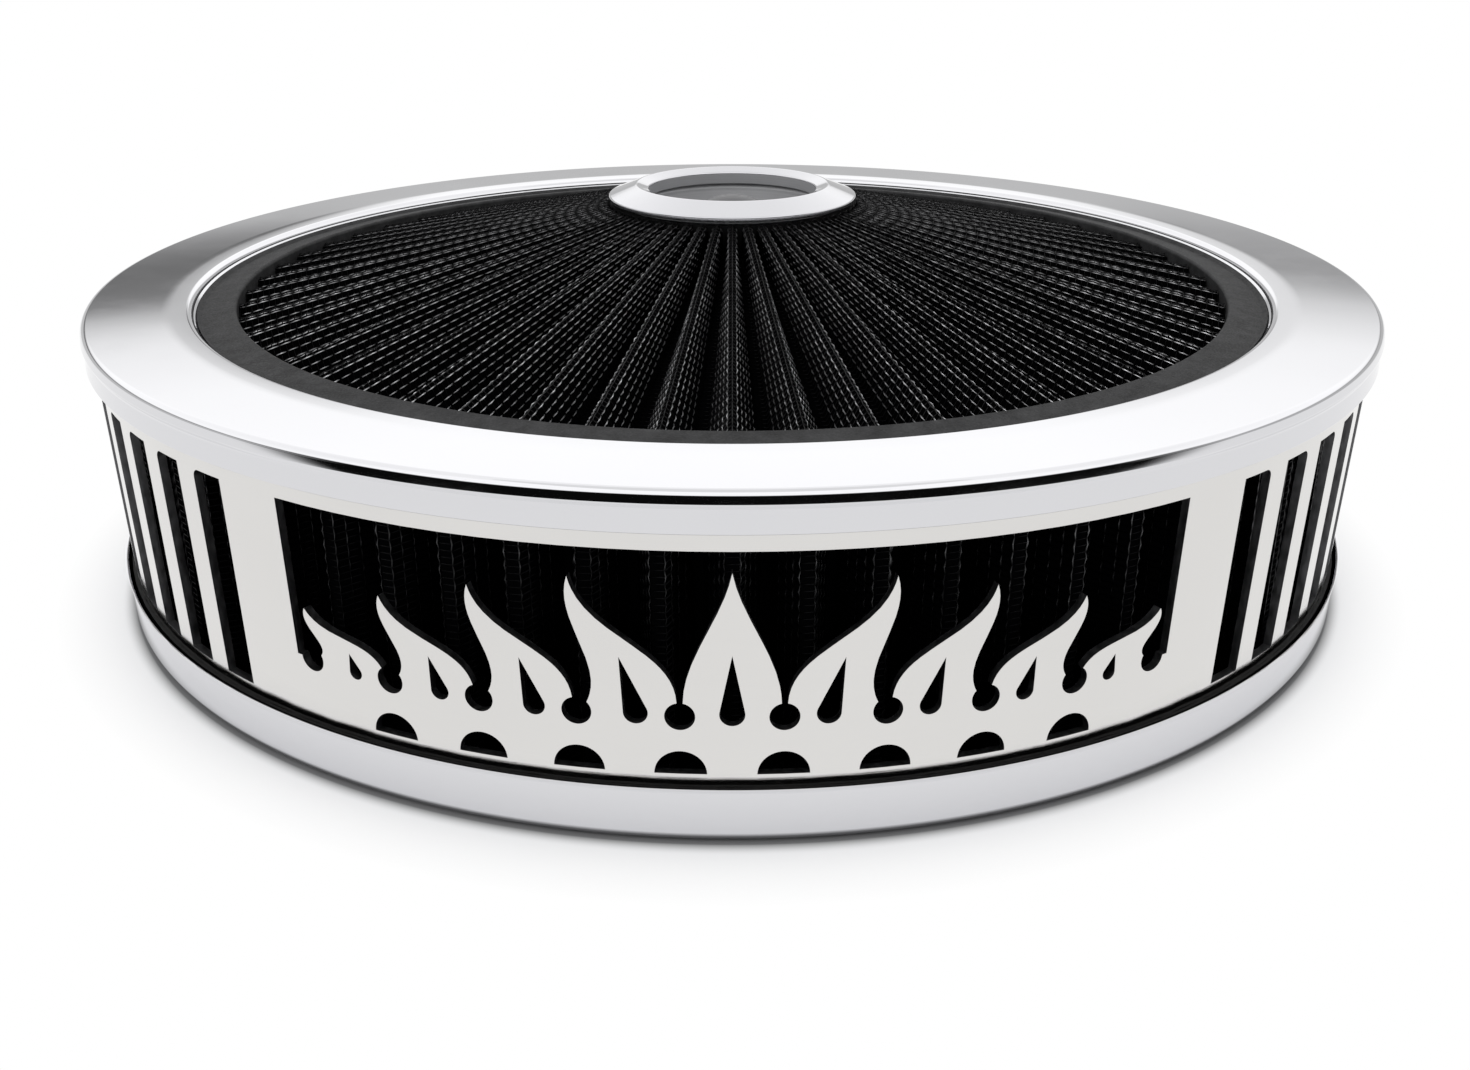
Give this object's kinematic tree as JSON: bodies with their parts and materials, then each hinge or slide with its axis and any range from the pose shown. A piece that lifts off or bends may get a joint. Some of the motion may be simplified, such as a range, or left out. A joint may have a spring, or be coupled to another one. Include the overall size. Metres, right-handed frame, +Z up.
{
  "type": "carburetor air cleaner",
  "caption": "Round open-element carburettor air cleaner with a pleated filter-top lid, a cut-out bright metal band round the element, a drop base and a centre stud with a finger nut.",
  "frame": {"origin": "middle of the base pan's underside, on the axis of the neck and the stud", "axes": "+Z up along the axis, -Y towards the front window of the band, +X to the right seen from the front"},
  "size_m": [0.3555, 0.3556, 0.1034],
  "materials": {
    "polished_chrome": "polished",
    "polished_band": "polished",
    "satin_steel": "satin",
    "zinc_steel": "satin",
    "seal_rubber": "matte",
    "black_rubber": "matte",
    "filter_media": "matte",
    "black_wire": "gloss",
    "black_pressing": "satin",
    "gasket_fibre": "matte"
  },
  "bodies": {
    "root": {"base_pan": "polished_chrome", "neck_gasket": "gasket_fibre", "element_bottom_seal": "black_rubber", "element_pleats": "filter_media", "element_top_seal": "black_rubber", "band_strip": "black_rubber", "shroud_band": "polished_band"},
    "lid": {"lid_rim": "polished_chrome", "lid_ring_seal": "seal_rubber", "lid_pleats": "filter_media", "lid_screen": "black_wire", "hub_seal": "black_rubber", "hub_cup": "satin_steel", "hub_bezel": "polished_chrome", "support_spider": "black_pressing", "center_stud": "zinc_steel", "seal_washer": "black_rubber"},
    "captive_washer": {"nut_washer": "zinc_steel"},
    "nut": {"center_nut": "satin_steel"}
  },
  "joints": [
    {"name": "lid_lift", "type": "slide", "parent": "root", "child": "lid", "axis": [0, 0, 1], "range_m": [0, 0.1]},
    {"name": "nut_rise", "type": "slide", "parent": "lid", "child": "captive_washer", "axis": [0, 0, 1], "range_m": [0, 0.0115]},
    {"name": "nut_turn", "type": "hinge", "parent": "captive_washer", "child": "nut", "pos_m": [0, 0, 0.08], "axis": [0, 0, 1], "range_deg": [0, 3240]}
  ],
  "couplings": [
    {"joint": "nut_rise", "follows": "nut_turn", "m_per_rad": 0.00020213}
  ]
}
